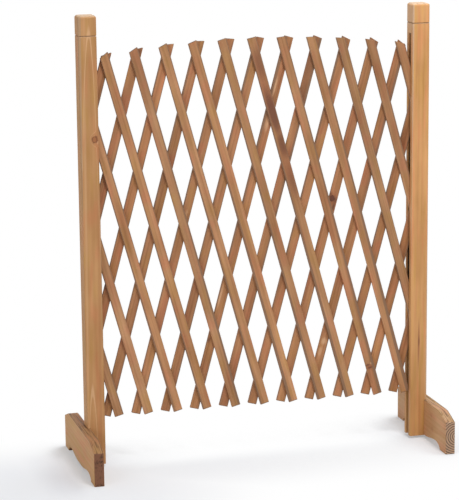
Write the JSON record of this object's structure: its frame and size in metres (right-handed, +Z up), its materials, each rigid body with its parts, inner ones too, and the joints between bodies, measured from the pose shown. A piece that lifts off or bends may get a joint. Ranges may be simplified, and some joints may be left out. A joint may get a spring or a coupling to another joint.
{
  "type": "expandable wooden fence",
  "caption": "Expandable wooden fence: a riveted lattice of crossed slats that opens and shuts like lazy tongs between slotted square posts, each on a foot board with an arched underside.",
  "frame": {"origin": "middle of the overall box at floor level: halfway between the posts, on the middle plane of the posts' thickness, on the floor that the feet stand on", "axes": "+X along the fence from the left post to the right post as seen from the front, +Y from the front to the back, +Z up"},
  "size_m": [0.8264, 0.32, 0.9999],
  "materials": {
    "post_wood": "stained softwood, satin, upright grain",
    "foot_wood": "stained softwood, satin",
    "front_wood": "stained softwood slat, satin",
    "back_wood": "stained softwood slat, satin, a little darker",
    "dowel_wood": "plain beech",
    "pin_steel": "plain steel pin"
  },
  "bodies": {
    "left_post": {"post_left": "post_wood", "foot_left": "foot_wood", "pivot_pin_left": "pin_steel", "dowel_left_1": "dowel_wood", "dowel_left_2": "dowel_wood", "dowel_left_3": "dowel_wood", "dowel_left_4": "dowel_wood"},
    "right_post": {"post_right": "post_wood", "foot_right": "foot_wood", "pivot_pin_right": "pin_steel", "dowel_right_1": "dowel_wood", "dowel_right_2": "dowel_wood", "dowel_right_3": "dowel_wood", "dowel_right_4": "dowel_wood"},
    "front_slat_01": {"front_slat_01": "front_wood"},
    "front_slat_02": {"front_slat_02": "front_wood"},
    "front_slat_03": {"front_slat_03": "front_wood"},
    "front_slat_04": {"front_slat_04": "front_wood"},
    "front_slat_05": {"front_slat_05": "front_wood"},
    "front_slat_06": {"front_slat_06": "front_wood"},
    "front_slat_07": {"front_slat_07": "front_wood"},
    "front_slat_08": {"front_slat_08": "front_wood"},
    "front_slat_09": {"front_slat_09": "front_wood"},
    "front_slat_10": {"front_slat_10": "front_wood"},
    "front_slat_11": {"front_slat_11": "front_wood"},
    "front_slat_12": {"front_slat_12": "front_wood"},
    "front_slat_13": {"front_slat_13": "front_wood"},
    "front_slat_14": {"front_slat_14": "front_wood"},
    "back_slat_01": {"back_slat_01": "back_wood"},
    "back_slat_02": {"back_slat_02": "back_wood"},
    "back_slat_03": {"back_slat_03": "back_wood"},
    "back_slat_04": {"back_slat_04": "back_wood"},
    "back_slat_05": {"back_slat_05": "back_wood"},
    "back_slat_06": {"back_slat_06": "back_wood"},
    "back_slat_07": {"back_slat_07": "back_wood"},
    "back_slat_08": {"back_slat_08": "back_wood"},
    "back_slat_09": {"back_slat_09": "back_wood"},
    "back_slat_10": {"back_slat_10": "back_wood"},
    "back_slat_11": {"back_slat_11": "back_wood"},
    "back_slat_12": {"back_slat_12": "back_wood"},
    "back_slat_13": {"back_slat_13": "back_wood"},
    "back_slat_14": {"back_slat_14": "back_wood"}
  },
  "joints": [
    {"name": "fence_opening", "type": "hinge", "parent": "left_post", "child": "front_slat_02", "pos_m": [-0.36966, 0, 0.53116], "axis": [0, -1, 0], "range_deg": [-10.62, 29.73]},
    {"name": "back_slat_02_pivot", "type": "hinge", "parent": "left_post", "child": "back_slat_02", "pos_m": [-0.36966, 0, 0.53116], "axis": [0, -1, 0], "range_deg": [-29.73, 10.62]},
    {"name": "back_slat_03_pivot", "type": "hinge", "parent": "front_slat_02", "child": "back_slat_03", "pos_m": [-0.33606, 0, 0.40807], "axis": [0, -1, 0], "range_deg": [-59.46, 21.24]},
    {"name": "back_slat_04_pivot", "type": "hinge", "parent": "front_slat_02", "child": "back_slat_04", "pos_m": [-0.30245, 0, 0.28497], "axis": [0, -1, 0], "range_deg": [-59.46, 21.24]},
    {"name": "back_slat_05_pivot", "type": "hinge", "parent": "front_slat_02", "child": "back_slat_05", "pos_m": [-0.26885, 0, 0.16188], "axis": [0, -1, 0], "range_deg": [-59.46, 21.24]},
    {"name": "front_slat_05_pivot", "type": "hinge", "parent": "back_slat_02", "child": "front_slat_05", "pos_m": [-0.26885, 0, 0.90045], "axis": [0, -1, 0], "range_deg": [-21.24, 59.46]},
    {"name": "front_slat_04_pivot", "type": "hinge", "parent": "back_slat_02", "child": "front_slat_04", "pos_m": [-0.30245, 0, 0.77735], "axis": [0, -1, 0], "range_deg": [-21.24, 59.46]},
    {"name": "front_slat_03_pivot", "type": "hinge", "parent": "back_slat_02", "child": "front_slat_03", "pos_m": [-0.33606, 0, 0.65426], "axis": [0, -1, 0], "range_deg": [-21.24, 59.46]},
    {"name": "front_slat_06_pivot", "type": "hinge", "parent": "back_slat_03", "child": "front_slat_06", "pos_m": [-0.20164, 0, 0.90045], "axis": [0, -1, 0], "range_deg": [-21.24, 59.46]},
    {"name": "front_slat_01_pivot", "type": "hinge", "parent": "back_slat_03", "child": "front_slat_01", "pos_m": [-0.36966, 0, 0.28497], "axis": [0, -1, 0], "range_deg": [-21.24, 59.46]},
    {"name": "front_slat_07_pivot", "type": "hinge", "parent": "back_slat_04", "child": "front_slat_07", "pos_m": [-0.13442, 0, 0.90045], "axis": [0, -1, 0], "range_deg": [-21.24, 59.46]},
    {"name": "front_slat_08_pivot", "type": "hinge", "parent": "back_slat_05", "child": "front_slat_08", "pos_m": [-0.06721, 0, 0.90045], "axis": [0, -1, 0], "range_deg": [-21.24, 59.46]},
    {"name": "back_slat_06_pivot", "type": "hinge", "parent": "front_slat_05", "child": "back_slat_06", "pos_m": [-0.13442, 0, 0.40807], "axis": [0, -1, 0], "range_deg": [-59.46, 21.24]},
    {"name": "back_slat_07_pivot", "type": "hinge", "parent": "front_slat_05", "child": "back_slat_07", "pos_m": [-0.10082, 0, 0.28497], "axis": [0, -1, 0], "range_deg": [-59.46, 21.24]},
    {"name": "back_slat_08_pivot", "type": "hinge", "parent": "front_slat_05", "child": "back_slat_08", "pos_m": [-0.06721, 0, 0.16188], "axis": [0, -1, 0], "range_deg": [-59.46, 21.24]},
    {"name": "back_slat_01_pivot", "type": "hinge", "parent": "front_slat_04", "child": "back_slat_01", "pos_m": [-0.33606, 0, 0.90045], "axis": [0, -1, 0], "range_deg": [-59.46, 21.24]},
    {"name": "back_slat_09_pivot", "type": "hinge", "parent": "front_slat_06", "child": "back_slat_09", "pos_m": [0, 0, 0.16188], "axis": [0, -1, 0], "range_deg": [-59.46, 21.24]},
    {"name": "back_slat_10_pivot", "type": "hinge", "parent": "front_slat_07", "child": "back_slat_10", "pos_m": [0.06721, 0, 0.16188], "axis": [0, -1, 0], "range_deg": [-59.46, 21.24]},
    {"name": "back_slat_11_pivot", "type": "hinge", "parent": "front_slat_08", "child": "back_slat_11", "pos_m": [0.13442, 0, 0.16188], "axis": [0, -1, 0], "range_deg": [-59.46, 21.24]},
    {"name": "front_slat_09_pivot", "type": "hinge", "parent": "back_slat_06", "child": "front_slat_09", "pos_m": [0, 0, 0.90045], "axis": [0, -1, 0], "range_deg": [-21.24, 59.46]},
    {"name": "front_slat_10_pivot", "type": "hinge", "parent": "back_slat_07", "child": "front_slat_10", "pos_m": [0.06721, 0, 0.90045], "axis": [0, -1, 0], "range_deg": [-21.24, 59.46]},
    {"name": "front_slat_11_pivot", "type": "hinge", "parent": "back_slat_08", "child": "front_slat_11", "pos_m": [0.13442, 0, 0.90045], "axis": [0, -1, 0], "range_deg": [-21.24, 59.46]},
    {"name": "front_slat_12_pivot", "type": "hinge", "parent": "back_slat_09", "child": "front_slat_12", "pos_m": [0.20164, 0, 0.90045], "axis": [0, -1, 0], "range_deg": [-21.24, 59.46]},
    {"name": "front_slat_13_pivot", "type": "hinge", "parent": "back_slat_10", "child": "front_slat_13", "pos_m": [0.26885, 0, 0.90045], "axis": [0, -1, 0], "range_deg": [-21.24, 59.46]},
    {"name": "front_slat_14_pivot", "type": "hinge", "parent": "back_slat_11", "child": "front_slat_14", "pos_m": [0.33606, 0, 0.90045], "axis": [0, -1, 0], "range_deg": [-21.24, 59.46]},
    {"name": "back_slat_12_pivot", "type": "hinge", "parent": "front_slat_09", "child": "back_slat_12", "pos_m": [0.20164, 0, 0.16188], "axis": [0, -1, 0], "range_deg": [-59.46, 21.24]},
    {"name": "back_slat_13_pivot", "type": "hinge", "parent": "front_slat_10", "child": "back_slat_13", "pos_m": [0.26885, 0, 0.16188], "axis": [0, -1, 0], "range_deg": [-59.46, 21.24]},
    {"name": "back_slat_14_pivot", "type": "hinge", "parent": "front_slat_11", "child": "back_slat_14", "pos_m": [0.33606, 0, 0.16188], "axis": [0, -1, 0], "range_deg": [-59.46, 21.24]},
    {"name": "right_post_pivot", "type": "hinge", "parent": "front_slat_13", "child": "right_post", "pos_m": [0.36966, 0, 0.53116], "axis": [0, -1, 0], "range_deg": [-29.73, 10.62]}
  ],
  "couplings": [
    {"joint": "back_slat_02_pivot", "follows": "fence_opening", "ratio": -1},
    {"joint": "back_slat_03_pivot", "follows": "fence_opening", "ratio": -2},
    {"joint": "back_slat_04_pivot", "follows": "fence_opening", "ratio": -2},
    {"joint": "back_slat_05_pivot", "follows": "fence_opening", "ratio": -2},
    {"joint": "front_slat_05_pivot", "follows": "fence_opening", "ratio": 2},
    {"joint": "front_slat_04_pivot", "follows": "fence_opening", "ratio": 2},
    {"joint": "front_slat_03_pivot", "follows": "fence_opening", "ratio": 2},
    {"joint": "front_slat_06_pivot", "follows": "fence_opening", "ratio": 2},
    {"joint": "front_slat_01_pivot", "follows": "fence_opening", "ratio": 2},
    {"joint": "front_slat_07_pivot", "follows": "fence_opening", "ratio": 2},
    {"joint": "front_slat_08_pivot", "follows": "fence_opening", "ratio": 2},
    {"joint": "back_slat_06_pivot", "follows": "fence_opening", "ratio": -2},
    {"joint": "back_slat_07_pivot", "follows": "fence_opening", "ratio": -2},
    {"joint": "back_slat_08_pivot", "follows": "fence_opening", "ratio": -2},
    {"joint": "back_slat_01_pivot", "follows": "fence_opening", "ratio": -2},
    {"joint": "back_slat_09_pivot", "follows": "fence_opening", "ratio": -2},
    {"joint": "back_slat_10_pivot", "follows": "fence_opening", "ratio": -2},
    {"joint": "back_slat_11_pivot", "follows": "fence_opening", "ratio": -2},
    {"joint": "front_slat_09_pivot", "follows": "fence_opening", "ratio": 2},
    {"joint": "front_slat_10_pivot", "follows": "fence_opening", "ratio": 2},
    {"joint": "front_slat_11_pivot", "follows": "fence_opening", "ratio": 2},
    {"joint": "front_slat_12_pivot", "follows": "fence_opening", "ratio": 2},
    {"joint": "front_slat_13_pivot", "follows": "fence_opening", "ratio": 2},
    {"joint": "front_slat_14_pivot", "follows": "fence_opening", "ratio": 2},
    {"joint": "back_slat_12_pivot", "follows": "fence_opening", "ratio": -2},
    {"joint": "back_slat_13_pivot", "follows": "fence_opening", "ratio": -2},
    {"joint": "back_slat_14_pivot", "follows": "fence_opening", "ratio": -2},
    {"joint": "right_post_pivot", "follows": "fence_opening", "ratio": -1}
  ]
}
